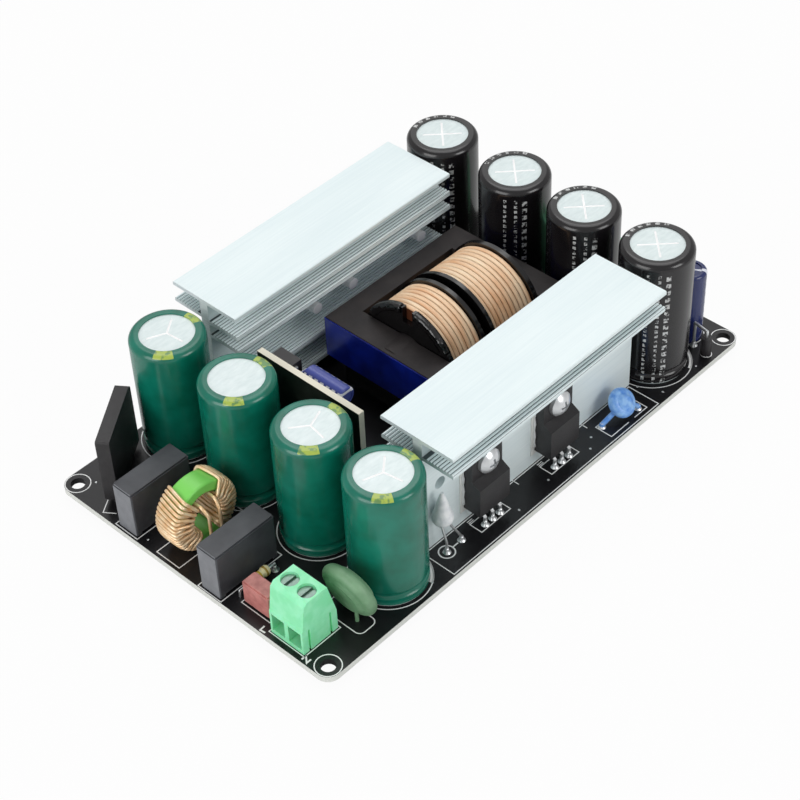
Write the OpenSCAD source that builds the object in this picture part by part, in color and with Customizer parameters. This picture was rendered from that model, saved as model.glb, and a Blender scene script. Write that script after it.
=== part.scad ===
// Open frame power supply: a mains input and a rectifier at one end, two finned
// heatsinks along the long sides with a transformer lying between them, and the
// output capacitors at the other end, all standing on one bare circuit board.
// Origin: centre of the four mounting holes, on the underside of the board.
// +X runs along the board from the input end to the output end, +Z up.

/* [Circuit board] */
// Length of the board along X
board_l = 145.5; // [140:0.5:160]
// Width of the board along Y
board_w = 88.4; // [86:0.2:100]
// Thickness of the board
board_t = 1.6; // [1:0.1:2.4]
// Distance of each mounting hole's centre from the two edges beside it
hole_inset = 3.2; // [2.8:0.1:4]
// Diameter of the mounting holes
mount_hole_d = 3.5; // [3:0.1:4]
// Length of lead and solder standing below the board
tail_h = 1.8; // [1:0.1:2.5]

/* [Terminal blocks] */
// Distance between two poles of a terminal block
pole_pitch = 5; // [5:0.04:5.08]
// Depth of a terminal block, across its wire entries
block_d = 10.3; // [9.5:0.1:11]
// Height of a terminal block
block_h = 14.8; // [13:0.1:16]
// Number of poles of the output block
output_poles = 4; // [2:1:4]

/* [Mains input] */
// Length of a box capacitor
box_cap_l = 17.5; // [15:0.5:18]
// Width of a box capacitor
box_cap_w = 6.4; // [5:0.2:7]
// Height of a box capacitor
box_cap_h = 13; // [10:0.5:16]
// Diameter of the inrush disc
disc_d = 14.6; // [11:0.2:14.8]
// Lean of the inrush disc towards the terminal block, in degrees
disc_lean = 15; // [0:1:18]
// Length of the bridge rectifier's body
bridge_l = 19.9; // [16:0.1:20.2]
// Thickness of the bridge rectifier's body
bridge_t = 3.3; // [3:0.1:4]
// Height of the bridge rectifier's body
bridge_h = 18; // [15:0.5:20]

/* [Choke] */
// Outer diameter of the ring core
ring_d = 17.2; // [16:0.2:17.4]
// Inner diameter of the ring core
ring_hole_d = 11.2; // [11:0.1:11.6]
// Width of the ring core along its axis
ring_w = 5.6; // [5:0.2:6.4]
// Diameter of the choke's wire
choke_wire_d = 0.9; // [0.8:0.05:0.9]
// Number of turns of each winding
choke_turns = 19; // [13:2:19]

/* [Capacitors] */
// Diameter of the tall capacitors over their sleeves
cap_d = 18; // [16:0.5:18]
// Thickness of a capacitor's sleeve
sleeve_t = 0.3; // [0.2:0.05:0.4]
// Diameter of the bare metal on top of a capacitor
cap_disc_d = 13; // [11:0.5:14]
// Height of the four mains capacitors' cans
bulk_h = 32.3; // [25:0.1:36]
// Height of the four output capacitors' cans
output_h = 36.1; // [25:0.1:40]

/* [Heatsinks] */
// Length of both heatsinks
sink_l = 72.6; // [70:0.1:72.8]
// Height of both heatsinks
sink_h = 34.4; // [33:0.2:36]
// Thickness of the upright wall
wall_t = 2.6; // [2:0.1:3]
// Reach of the fins on the side of the transformer
inner_fin = 9.4; // [8:0.1:9.6]
// Reach of the two plates on the outer side
outer_fin = 9; // [8:0.1:9.2]
// Thickness of a fin between its ribs
fin_t = 0.9; // [0.8:0.1:1.2]
// Distance between two ribs of a fin
rib_pitch = 0.88; // [0.8:0.02:1.2]
// Height of a rib
rib_h = 0.3; // [0.2:0.05:0.4]

/* [Transistors] */
// Height of the heatsinks' screw holes above the board
screw_z = 17.8; // [17:0.1:19]
// Diameter of the heatsink screws
screw_d = 2.9; // [2.5:0.1:3]
// Clearance round a screw in its hole
screw_play = 0.15; // [0.1:0.05:0.25]
// Length of a heatsink screw below its head
screw_l = 12; // [8:0.5:14]

/* [Transformer] */
// Length of the transformer's core along X
core_l = 46; // [44:0.5:47]
// Width of the core along Y
core_w = 40; // [38:0.5:41]
// Height of the core's cross-section
core_h = 12; // [10:0.5:14]
// Height of the core's centre above the board
core_z = 15.4; // [15:0.1:17]
// Air left between the windings and the core's side legs
winding_room = 0.9; // [0.6:0.1:2.5]
// Turns seen on the first winding
turns_1 = 7; // [5:1:9]
// Turns seen on the second winding
turns_2 = 10; // [7:1:12]

/* [Control board] */
// Length of the upright control board along Y
control_l = 32; // [28:0.5:34]
// Height of the control board
control_h = 29.9; // [24:0.1:31]
// Thickness of the control board
control_t = 1.6; // [1:0.1:1.6]

/* [Hidden] */
$fn = 48;
eps = 0.01;
// A hairline left between faces that lie close without being glued
gap = 0.1;
// Top face of the board, on which everything stands
top = board_t;

// --- Places on the board ---------------------------------------------------
hole_x = board_l / 2 - hole_inset;
hole_y = board_w / 2 - hole_inset;
input_block_at = [-65.8, -30.2];
output_block_at = [66.2, 0];
fuse_at = [-67, -18.7];
resistor_at = [-63.2, -12.9];
disc_at = [-56, -34.7];
x_cap_1_at = [-62.9, 20.8];
x_cap_2_at = [-63.2, -7.2];
choke_at = [-61.9, 7.2];
bridge_at = [-69.6, 30.8];
bridge_turn = 35.4;
bulk_x = -42.6;
bulk_y = [34.5, 11.5, -11.7, -33.3];
output_x = 51.2;
output_y = [35.2, 11.3, -10.5, -32.5];
primary_sink_at = [-30.8, 35];
output_sink_at = [-31.9, -33];
primary_holes = [-2.5, 9.8, 34.3];
output_holes = [-26.6, -14.4, 10];
transformer_at = [16.7, 0.8];
control_at = [-30.8, 0.7];
slim_cap_at = [65, -32.9];
diode_at = [61.7, -41.4];
thermistor_at = [-26.5, -38];
y_cap_at = [30.3, -38.9];

// --- Fits shared by several pieces -----------------------------------------
hole_d = screw_d + 2 * screw_play;
pad_t = 0.3;
pad_w = 12.2;
pad_h = 18;
tab_t = 2.7;
head_d = 6.2;
body_w = 10;
body_t = 5;
body_bottom = 4.5;
body_step = 14.1;
body_top = 21.1;
lead_pitch = 2.54;

// --- Small helpers ---------------------------------------------------------
// Block with its upright edges rounded, standing on z = 0, centred in X and Y
module round_block(l, w, h, r) {
    linear_extrude(h) round_rect(l, w, r);
}

module round_rect(l, w, r) {
    square([l - 2 * r, w], center = true);
    square([l, w - 2 * r], center = true);
    for (x = [-1, 1], y = [-1, 1])
        translate([x * (l / 2 - r), y * (w / 2 - r)]) circle(r);
}

// Round wire through a few points, with a ball at every bend
module wire(points, d) {
    for (i = [0 : len(points) - 2]) {
        run = points[i + 1] - points[i];
        flat = norm([run[0], run[1]]);
        translate(points[i])
            rotate([0, atan2(flat, run[2]), atan2(run[1], run[0])])
                cylinder(h = norm(run), d = d, $fn = 16);
    }
    for (i = [1 : 1 : len(points) - 2])
        translate(points[i]) sphere(d = d * 1.06, $fn = 16);
}

// Tube through many points. At each one a direction that lies square to the
// turn keeps the rings from twisting against each other.
function unit(v) = v / norm(v);
function along(path, i) =
    unit(path[min(i + 1, len(path) - 1)][0] - path[max(i - 1, 0)][0]);

module tube(path, d, sides = 8) {
    points = [for (i = [0 : len(path) - 1])
        let (t = along(path, i), ref = path[i][1],
             side = unit(ref - (ref * t) * t), up = cross(t, side))
        for (k = [0 : sides - 1])
            path[i][0] + d / 2 * (cos(360 * k / sides) * side + sin(360 * k / sides) * up)];
    last = (len(path) - 1) * sides;
    polyhedron(points, concat(
        [[for (k = [0 : sides - 1]) sides - 1 - k]],
        [for (i = [0 : len(path) - 2], k = [0 : sides - 1])
            let (a = i * sides + k, b = i * sides + (k + 1) % sides)
            each [[a, b, b + sides], [a, b + sides, a + sides]]],
        [[for (k = [0 : sides - 1]) last + k]]));
}

// --- Board -----------------------------------------------------------------
module circuit_board() {
    color("#1c1b1e")
        difference() {
            round_block(board_l, board_w, board_t, hole_inset);
            for (x = [-1, 1], y = [-1, 1])
                translate([x * hole_x, y * hole_y, -1])
                    cylinder(h = board_t + 2, d = mount_hole_d);
        }
}

// --- Terminal blocks: a leaning front, wire entries below, screws on top -----
entry_w = 3.8;
entry_z = 1.2;
entry_h = 4.9;
entry_d = 6.5;
screw_well_d = 4.2;
front_step = 6.9;
back_step = 5.9;
front_lean = 1.3;
back_lean = 2.2;

function pole_y(poles, i) = (i - (poles - 1) / 2) * pole_pitch;

module terminal_housing(poles) {
    w = poles * pole_pitch;
    color("#8ce8b2")
        difference() {
            rotate([90, 0, 0])
                linear_extrude(w, center = true)
                    polygon([[-block_d / 2, 0], [-block_d / 2, front_step],
                             [-block_d / 2 + 0.25, front_step + 0.4],
                             [-block_d / 2 + front_lean - 0.2, block_h - 1],
                             [-block_d / 2 + front_lean + 0.8, block_h],
                             [block_d / 2 - back_lean, block_h],
                             [block_d / 2, back_step], [block_d / 2, 0]]);
            for (i = [0 : poles - 1])
                translate([0, pole_y(poles, i), 0]) {
                    translate([-block_d / 2 - 1, -entry_w / 2, entry_z])
                        cube([entry_d + 1, entry_w, entry_h]);
                    translate([-0.5, 0, entry_z + 1])
                        cylinder(h = block_h, d = screw_well_d);
                }
            // Grooves of the joining ribs at both ends
            for (s = [-1, 1], x = [-3.2, 3.2])
                translate([x - 0.3, s * w / 2 - 0.5, -1]) cube([0.6, 1, 7.5]);
        }
}

module terminal_parts(poles, part) {
    for (i = [0 : poles - 1])
        translate([-0.5, pole_y(poles, i), 0])
            if (part == "screw") {
                difference() {
                    translate([0, 0, block_h - 2.6])
                        cylinder(h = 1.8, d = screw_well_d - 2 * gap);
                    translate([-screw_well_d, -0.4, block_h - 1.5])
                        cube([2 * screw_well_d, 0.8, 2]);
                }
                translate([0, 0, entry_z + entry_h])
                    cylinder(h = block_h - 2.6 - entry_z - entry_h, d = 2.6);
            } else {
                // Bent brass clamp under the screw, with its pin down to the board
                difference() {
                    translate([-1.7, -1.6, entry_z]) cube([3.4, 3.2, entry_h]);
                    translate([-2, -1, entry_z + 0.7]) cube([4, 2, entry_h - 1.6]);
                }
                translate([-0.4, -0.4, 0]) cube([0.8, 0.8, entry_z + eps]);
            }
}

module at_input_block() {
    translate([input_block_at[0], input_block_at[1], top]) children();
}

module at_output_block() {
    translate([output_block_at[0], output_block_at[1], top]) rotate(180) children();
}

module input_terminal_housing() { at_input_block() block_with_pin_ways(2); }
module output_terminal_housing() { at_output_block() block_with_pin_ways(output_poles); }

module block_with_pin_ways(poles) {
    color("#8ce8b2")
        difference() {
            terminal_housing(poles);
            for (i = [0 : poles - 1])
                translate([-0.5, pole_y(poles, i), -1])
                    translate([-0.5, -0.5, 0]) cube([1, 1, entry_z + 2]);
        }
}

module terminal_screws() {
    color("#dfeaf0") {
        at_input_block() terminal_parts(2, "screw");
        at_output_block() terminal_parts(output_poles, "screw");
    }
}

module terminal_clamps() {
    color("#cfd3d2") {
        at_input_block() terminal_parts(2, "clamp");
        at_output_block() terminal_parts(output_poles, "clamp");
    }
}

// --- Fuse, resistor and inrush disc ------------------------------------------
fuse_size = [4.1, 8.3, 6.2];
fuse_lift = 0.6;
fuse_pitch = 5.08;

module input_fuse() {
    color("#a9605c")
        translate([fuse_at[0], fuse_at[1], top]) {
            translate([0, 0, fuse_lift])
                round_block(fuse_size[0], fuse_size[1], fuse_size[2] - 0.4, 0.5);
            translate([0, 0, fuse_lift + fuse_size[2] - 0.4 - eps])
                round_block(fuse_size[0] - 0.7, fuse_size[1] - 0.7, 0.4 + eps, 0.4);
            for (s = [-1, 1])
                translate([0, s * fuse_pitch / 2, 0])
                    cylinder(h = fuse_lift + eps, d = 0.6, $fn = 16);
        }
}

resistor_l = 6.4;
resistor_d = 2.5;
resistor_z = 1.9;
resistor_pitch = 10.6;

module bleed_resistor() {
    color("#d8c98c")
        translate([resistor_at[0], resistor_at[1], top + resistor_z]) {
            rotate([0, 90, 0])
                translate([0, 0, -resistor_l / 2]) {
                    cylinder(h = resistor_l, d = resistor_d * 0.84);
                    for (z = [0, resistor_l - 1.7])
                        translate([0, 0, z]) {
                            cylinder(h = 1.7, d = resistor_d - 0.3);
                            translate([0, 0, 0.3]) cylinder(h = 1.1, d = resistor_d);
                        }
                }
            wire([[-resistor_pitch / 2, 0, -resistor_z], [-resistor_pitch / 2, 0, 0],
                  [resistor_pitch / 2, 0, 0], [resistor_pitch / 2, 0, -resistor_z]], 0.6);
        }
}

// Lens of coating round a flat disc; its axis runs along X
module coated_disc(d, t) {
    rim = t * 0.36;
    rotate([0, 90, 0])
        rotate_extrude() {
            translate([0, -t / 2]) square([d / 2 - rim - 0.9, t]);
            translate([0, -rim]) square([d / 2 - rim, 2 * rim]);
            polygon([[d / 2 - rim - 0.9 - eps, -t / 2], [d / 2 - rim + 0.1, -rim],
                     [d / 2 - rim + 0.1, rim], [d / 2 - rim - 0.9 - eps, t / 2]]);
            intersection() {
                translate([d / 2 - rim, 0]) circle(rim);
                translate([0, -rim]) square([d / 2, 2 * rim]);
            }
        }
}

disc_t = 4.8;
disc_z = 7.9;
disc_feet = [[-0.5, -2.2], [2.4, 4.4]];

module inrush_disc() {
    color("#7ea583")
        translate([disc_at[0], disc_at[1], top]) {
            translate([0, 0, disc_z]) rotate([0, -disc_lean, 0]) coated_disc(disc_d, disc_t);
            for (f = disc_feet)
                wire([[f[0], f[1], 0], [f[0], f[1], 2.2],
                      [f[0] * 0.75 - 0.3, f[1], disc_z - 3]], 0.9);
        }
}

// --- Box capacitors ----------------------------------------------------------
module box_capacitor(at) {
    bevel = 0.5;
    color("#595b60")
        translate([at[0], at[1], top]) {
            // A shallow recess underneath leaves a foot along both ends
            difference() {
                round_block(box_cap_l, box_cap_w, box_cap_h - bevel, 0.5);
                translate([-box_cap_l / 2 + 1.5, -box_cap_w, -eps])
                    cube([box_cap_l - 3, 2 * box_cap_w, 0.6]);
            }
            translate([0, 0, box_cap_h - bevel - eps])
                round_block(box_cap_l - bevel, box_cap_w - bevel, bevel + eps, 0.4);
        }
}

module x_capacitor_1() { box_capacitor(x_cap_1_at); }
module x_capacitor_2() { box_capacitor(x_cap_2_at); }

// --- Choke: a ring standing on edge with two windings --------------------------
// Gap under the bare bottom of the ring
ring_lift = 0.4;
ring_z = ring_d / 2 + ring_lift;
winding_arc = 130;
wire_off = choke_wire_d / 2 + gap;
turn_out = ring_d / 2 + wire_off;
turn_side = ring_w / 2 + wire_off;
layer_1 = ring_hole_d / 2 - wire_off;
layer_2 = layer_1 - choke_wire_d;
turn_step = winding_arc / choke_turns;
// Cut corner of a turn, and the radius where a turn starts to climb
turn_cut = 0.6;
climb_cut = 0.7;
climb_r = turn_out - 1.05 * choke_wire_d;

// One turn seen along the ring: distance from the ring's axis, and along it.
// Every second turn climbs over its neighbours to a second layer in the hole.
over = turn_side + choke_wire_d * 0.92;
low_turn = [[turn_out, turn_side - turn_cut], [turn_out - turn_cut, turn_side],
            [layer_1 + turn_cut, turn_side], [layer_1, turn_side - turn_cut],
            [layer_1, turn_cut - turn_side], [layer_1 + turn_cut, -turn_side],
            [turn_out - turn_cut, -turn_side], [turn_out, turn_cut - turn_side]];
high_turn = [[turn_out, turn_side - turn_cut], [turn_out - turn_cut, turn_side],
             [climb_r, turn_side], [layer_1 + climb_cut, over], [layer_2 + climb_cut, over],
             [layer_2, over - climb_cut], [layer_2, climb_cut - over],
             [layer_2 + climb_cut, -over], [layer_1 + climb_cut, -over], [climb_r, -turn_side],
             [turn_out - turn_cut, -turn_side], [turn_out, turn_cut - turn_side]];

// Lead of a finished winding, standing in front of the ring
lead_x = 1.6;
lead_y = -over - 2.1;
lead_bend_z = ring_z + 2.6;
// How far round the ring the lead leaves its last turn, in degrees
lead_swing = 5;
first_turn = (turn_step - winding_arc) / 2;
last_turn = first_turn + (choke_turns - 1) * turn_step;
foot = [turn_out * cos(first_turn) + 0.2, turn_side - turn_cut];

// A point of the winding, with the direction square to its turn
function on_ring(r, y, a) = [[r * cos(a), y, ring_z + r * sin(a)], [-sin(a), 0, cos(a)]];

// Up from the board, round all turns, then down in front of the ring
function winding_path() = concat(
    [for (z = [0, ring_z + turn_out * sin(first_turn) - 0.7])
        [[foot[0], foot[1], z], on_ring(1, 0, first_turn)[1]]],
    [for (i = [0 : choke_turns - 1])
        let (turn = i % 2 == 0 ? low_turn : high_turn,
             stop = i == choke_turns - 1 ? 3 : len(turn) - 1)
        for (j = [0 : stop]) on_ring(turn[j][0], turn[j][1], first_turn + turn_step * i)],
    [on_ring(layer_1, climb_cut - over, last_turn + lead_swing),
     on_ring(layer_1, -over - 0.5, last_turn + lead_swing)],
    [for (z = [lead_bend_z, lead_bend_z - 0.8, 0])
        [[lead_x, lead_y, z], on_ring(1, 0, last_turn)[1]]]);

module choke_winding(side) {
    color("#c98a52")
        translate([choke_at[0], choke_at[1], top])
            mirror([side < 0 ? 1 : 0, 0, 0]) tube(winding_path(), choke_wire_d);
}

module choke_winding_1() { choke_winding(1); }
module choke_winding_2() { choke_winding(-1); }

module choke_core() {
    r = 0.7;
    color("#6fce52")
        translate([choke_at[0], choke_at[1], top + ring_z])
            rotate([90, 0, 0])
                rotate_extrude($fn = 72) {
                    translate([ring_hole_d / 2, -ring_w / 2 + r])
                        square([(ring_d - ring_hole_d) / 2, ring_w - 2 * r]);
                    translate([ring_hole_d / 2 + r, -ring_w / 2])
                        square([(ring_d - ring_hole_d) / 2 - 2 * r, ring_w]);
                    for (x = [ring_hole_d / 2 + r, ring_d / 2 - r], y = [-1, 1])
                        translate([x, y * (ring_w / 2 - r)]) circle(r, $fn = 24);
                }
}

// --- Bridge rectifier: a slab turned on the board, on four flat leads ------------
bridge_lift = 1.8;
bridge_pitch = 5.08;
bridge_bevel = 0.9;

module at_bridge() {
    translate([bridge_at[0], bridge_at[1], top]) rotate(bridge_turn) children();
}

module bridge_rectifier() {
    color("#2b2a2b")
        at_bridge() {
            translate([0, -bridge_t, bridge_lift])
                rotate([90, 0, 0]) translate([0, 0, -bridge_t])
                    linear_extrude(bridge_t)
                        polygon([[0, 0], [0, bridge_h - 0.4], [0.4, bridge_h],
                                 [bridge_l - bridge_bevel, bridge_h],
                                 [bridge_l, bridge_h - bridge_bevel], [bridge_l, 0]]);
            for (i = [0 : 3])
                translate([bridge_l / 2 + (i - 1.5) * bridge_pitch, -bridge_t / 2, 0])
                    translate([-0.5, -0.3, 0]) cube([1, 0.6, bridge_lift + eps]);
        }
}

// --- Tall capacitors: a metal can in a shrunk sleeve -----------------------------
groove_z = 3.2;
groove_d = 2.6;
// Distance of the groove circle's middle outside the sleeve
groove_out = 0.8;
can_edge = 1.3;
// How far above the board the sleeve starts
sleeve_start = 0.5;
// Width and depth of the vent grooves on a can, and the metal left round them
vent_w = 0.5;
vent_d = 0.15;
vent_edge = 1.6;

// Half outline of a can: straight side, rounded top edge, rolled groove below
module can_half(r, h, edge, groove) {
    difference() {
        union() {
            square([r - edge, h]);
            square([r, h - edge]);
            translate([r - edge, h - edge]) circle(edge);
        }
        translate([cap_d / 2 + groove_out, groove_z]) circle(d = groove);
    }
}

module can(at, h, vent_turn, arms) {
    color("#dfeaf0")
        translate([at[0], at[1], top])
            difference() {
                rotate_extrude($fn = 72)
                    can_half(cap_d / 2 - sleeve_t, h, can_edge, groove_d + 2 * sleeve_t);
                if (arms > 0)
                    for (i = [0 : arms - 1])
                        rotate(vent_turn + i * 360 / arms)
                            translate([0, -vent_w / 2, h - vent_d])
                                cube([cap_disc_d / 2 - vent_edge, vent_w, 1]);
            }
}

module sleeve(at, h, tint) {
    color(tint)
        translate([at[0], at[1], top])
            rotate_extrude($fn = 72)
                difference() {
                    can_half(cap_d / 2, h + sleeve_t, can_edge + sleeve_t, groove_d);
                    can_half(cap_d / 2 - sleeve_t, h, can_edge, groove_d + 2 * sleeve_t);
                    translate([-1, -1]) square([cap_d, 1 + sleeve_start]);
                    translate([-1, 0]) square([1 + cap_disc_d / 2, h + 1]);
                }
}

module bulk_can(i, vent_turn, arms = 3) { can([bulk_x, bulk_y[i]], bulk_h, vent_turn, arms); }
module bulk_sleeve(i) { sleeve([bulk_x, bulk_y[i]], bulk_h, "#0d5a46"); }
module output_can(i) { can([output_x, output_y[i]], output_h, 45, 4); }
module output_sleeve(i) { sleeve([output_x, output_y[i]], output_h, "#242325"); }

module bulk_can_1() { bulk_can(0, 35); }
module bulk_can_2() { bulk_can(1, 0, 0); }
module bulk_can_3() { bulk_can(2, 20); }
module bulk_can_4() { bulk_can(3, 40); }
module bulk_sleeve_1() { bulk_sleeve(0); }
module bulk_sleeve_2() { bulk_sleeve(1); }
module bulk_sleeve_3() { bulk_sleeve(2); }
module bulk_sleeve_4() { bulk_sleeve(3); }
module output_can_1() { output_can(0); }
module output_can_2() { output_can(1); }
module output_can_3() { output_can(2); }
module output_can_4() { output_can(3); }
module output_sleeve_1() { output_sleeve(0); }
module output_sleeve_2() { output_sleeve(1); }
module output_sleeve_3() { output_sleeve(2); }
module output_sleeve_4() { output_sleeve(3); }

// --- Heatsinks: one extrusion, used twice, with its fins facing the transformer --
// Height of the top of each fin above the board, ribs included
inner_fins = [29, 24.9, 13.9, 6.2];
outer_fins = [29.7];

// Fin along +X of the drawing, with fine ribs on its upper side
module fin(reach, z) {
    ribs = floor((reach - 0.4) / rib_pitch);
    translate([wall_t / 2 - eps, z - rib_h - fin_t]) square([reach + eps, fin_t]);
    for (i = [0 : ribs - 1])
        translate([wall_t / 2 + reach - (i + 1) * rib_pitch, z - rib_h])
            polygon([[0.1, -eps], [rib_pitch - 0.1, -eps],
                     [rib_pitch - 0.28, rib_h], [0.28, rib_h]]);
}

module sink_profile() {
    translate([-wall_t / 2, 0]) square([wall_t, sink_h]);
    // Plate on top, with its edges slightly broken
    translate([-wall_t / 2 - outer_fin, sink_h - fin_t - 0.1])
        polygon([[0, 0], [outer_fin + wall_t + inner_fin, 0],
                 [outer_fin + wall_t + inner_fin, fin_t - 0.1],
                 [outer_fin + wall_t + inner_fin - 0.2, fin_t + 0.1],
                 [0.2, fin_t + 0.1], [0, fin_t - 0.1]]);
    for (z = inner_fins) fin(inner_fin, z);
    for (z = outer_fins) mirror([1, 0]) fin(outer_fin, z);
}

// A heatsink from its left end along X, its wall's middle on the given Y
module heatsink(at, inner_side, holes) {
    color("#e4eef4")
        difference() {
            translate([at[0], at[1], top])
                mirror([0, inner_side > 0 ? 0 : 1, 0])
                    rotate([90, 0, 90]) linear_extrude(sink_l) sink_profile();
            for (x = holes)
                translate([x, at[1], top + screw_z])
                    rotate([90, 0, 0]) cylinder(h = wall_t + 1, d = hole_d, center = true);
        }
}

module primary_heatsink() { heatsink(primary_sink_at, -1, primary_holes); }
module output_heatsink() { heatsink(output_sink_at, 1, output_holes); }

// --- Transistors, their pads and screws: drawn facing -Y, back against y = 0 ------
lead_d = 0.5;
lead_y0 = -2.35;
lead_foot_y = -3.95;
// Heights of the lead's bend, and height of its wide part under the body
lead_bend = [2.3, 3.6];
lead_wide = 0.6;
step_fall = 1.4;

module transistor() {
    color("#242325") {
        difference() {
            intersection() {
                rotate([90, 0, 90])
                    linear_extrude(body_w, center = true)
                        polygon([[0, body_bottom], [0, body_top], [-tab_t, body_top],
                                 [-tab_t, body_step], [-body_t, body_step - step_fall],
                                 [-body_t, body_bottom]]);
                rotate([90, 0, 0])
                    linear_extrude(4 * body_t, center = true)
                        polygon([[-body_w / 2, 0], [-body_w / 2, body_top - 1],
                                 [-body_w / 2 + 1, body_top], [body_w / 2 - 1, body_top],
                                 [body_w / 2, body_top - 1], [body_w / 2, 0]]);
            }
            translate([0, 0, screw_z]) rotate([90, 0, 0])
                cylinder(h = 4 * body_t, d = hole_d, center = true);
        }
        for (i = [-1 : 1])
            translate([i * lead_pitch, 0, 0])
                rotate([90, 0, 90]) {
                    linear_extrude(0.8, center = true)
                        polygon([[lead_y0, body_bottom + eps],
                                 [lead_y0 - lead_d, body_bottom + eps],
                                 [lead_y0 - lead_d, lead_bend[1]],
                                 [lead_foot_y - lead_d, lead_bend[0]],
                                 [lead_foot_y - lead_d, 0], [lead_foot_y, 0],
                                 [lead_foot_y, lead_bend[0] + 0.2],
                                 [lead_y0, lead_bend[1] + 0.2]]);
                    linear_extrude(1.3, center = true)
                        translate([lead_y0 - lead_d, body_bottom - lead_wide])
                            square([lead_d, lead_wide + eps]);
                }
    }
}

module insulating_pad() {
    color("#e9e9e4")
        difference() {
            translate([-pad_w / 2, -pad_t, body_bottom - 1.2]) cube([pad_w, pad_t, pad_h]);
            translate([0, 0, screw_z]) rotate([90, 0, 0])
                cylinder(h = 2, d = hole_d, center = true);
        }
}

// Domed head: a straight rim, then a cap of the ball that just meets the rim
head_rim = 0.9;
head_rise = 1.5;
dome_r = (pow(head_d / 2, 2) + pow(head_rise, 2)) / (2 * head_rise);
cross_l = 2.8;
cross_w = 0.6;

module heatsink_screw() {
    color("#d6d6da")
        translate([0, -tab_t, screw_z]) rotate([90, 0, 0])
            difference() {
                union() {
                    rotate_extrude() {
                        square([head_d / 2, head_rim]);
                        translate([0, head_rim - eps])
                            intersection() {
                                translate([0, head_rise - dome_r]) circle(dome_r);
                                square([head_d / 2, head_rise + 1]);
                            }
                    }
                    translate([0, 0, -screw_l]) cylinder(h = screw_l + eps, d = screw_d);
                }
                for (a = [0, 90])
                    rotate(a) translate([-cross_l / 2, -cross_w / 2, head_rim + 0.3])
                        cube([cross_l, cross_w, 3]);
            }
}

// Places the children at a hole of one heatsink, facing away from the transformer
module on_sink(at, inner_side, x) {
    translate([x, at[1] - inner_side * wall_t / 2, top]) rotate(inner_side > 0 ? 0 : 180) children();
}

module on_primary(x) { on_sink(primary_sink_at, -1, x) children(); }
module on_output(x) { on_sink(output_sink_at, 1, x) children(); }
module behind_pad() { translate([0, -pad_t, 0]) children(); }

module primary_transistor_1() { on_primary(primary_holes[0]) behind_pad() transistor(); }
module primary_transistor_2() { on_primary(primary_holes[1]) behind_pad() transistor(); }
module primary_transistor_3() { on_primary(primary_holes[2]) behind_pad() transistor(); }
module output_transistor_1() { on_output(output_holes[1]) behind_pad() transistor(); }
module output_transistor_2() { on_output(output_holes[2]) behind_pad() transistor(); }

module insulating_pads() {
    for (x = primary_holes) on_primary(x) insulating_pad();
    for (i = [1, 2]) on_output(output_holes[i]) insulating_pad();
}

module heatsink_screws() {
    for (x = primary_holes) on_primary(x) behind_pad() heatsink_screw();
    for (i = [1, 2]) on_output(output_holes[i]) behind_pad() heatsink_screw();
}

// --- Transformer: a core lying flat round a bobbin whose axis runs along X -------
core_back = 7.2;
core_leg = 5.4;
// Everything round the middle leg follows the window between the side legs
window_w = core_w - 2 * core_leg;
centre_leg_d = core_w * 0.315;
tape_t = 0.25;
tube_play = 0.3;
tube_wall = 1;
tube_d = centre_leg_d + 2 * (tube_play + tube_wall);
flange_play = 0.3;
flange_d = window_w - 2 * flange_play;
flange_t = 1.3;
winding_d = window_w - 2 * winding_room;
rail_bottom = 3.4;
rail_w = core_w * 0.75;
pin_count = 5;
pin_pitch = 5.4;
pin_in = 3.6;
// Notch in the first flange, where the wire ends leave the windings
notch_w = 3;
notch_d = 4.2;
window_half = core_l / 2 - core_back;
flange_x = window_half - 0.2;
// The two flanges between the windings
split_x = [-4.4, -1];
split_t = 1.1;

module at_transformer() {
    translate([transformer_at[0], transformer_at[1], top]) children();
}

module core_half() {
    color("#3a3535")
        translate([0, 0, core_z]) {
            translate([-core_l / 2, -core_w / 2, -core_h / 2])
                cube([core_back, core_w, core_h]);
            for (s = [0, 1]) mirror([0, s, 0])
                translate([-core_l / 2, core_w / 2 - core_leg, -core_h / 2])
                    cube([core_l / 2, core_leg, core_h]);
            translate([-core_l / 2 + 1, 0, 0]) rotate([0, 90, 0])
                cylinder(h = core_l / 2 - 1, d = centre_leg_d);
        }
}

module core_half_1() { at_transformer() core_half(); }
module core_half_2() { at_transformer() rotate(180) core_half(); }

module core_tape() {
    color("#0b1f86")
        at_transformer()
            translate([0, 0, core_z - core_h / 2 + 0.3])
                linear_extrude(core_h - 0.6)
                    difference() {
                        round_rect(core_l + 2 * tape_t, core_w + 2 * tape_t, tape_t);
                        square([core_l, core_w], center = true);
                    }
}

module bobbin_flange(x, t) {
    translate([x, 0, core_z]) rotate([0, 90, 0]) cylinder(h = t, d = flange_d, $fn = 72);
}

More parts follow.
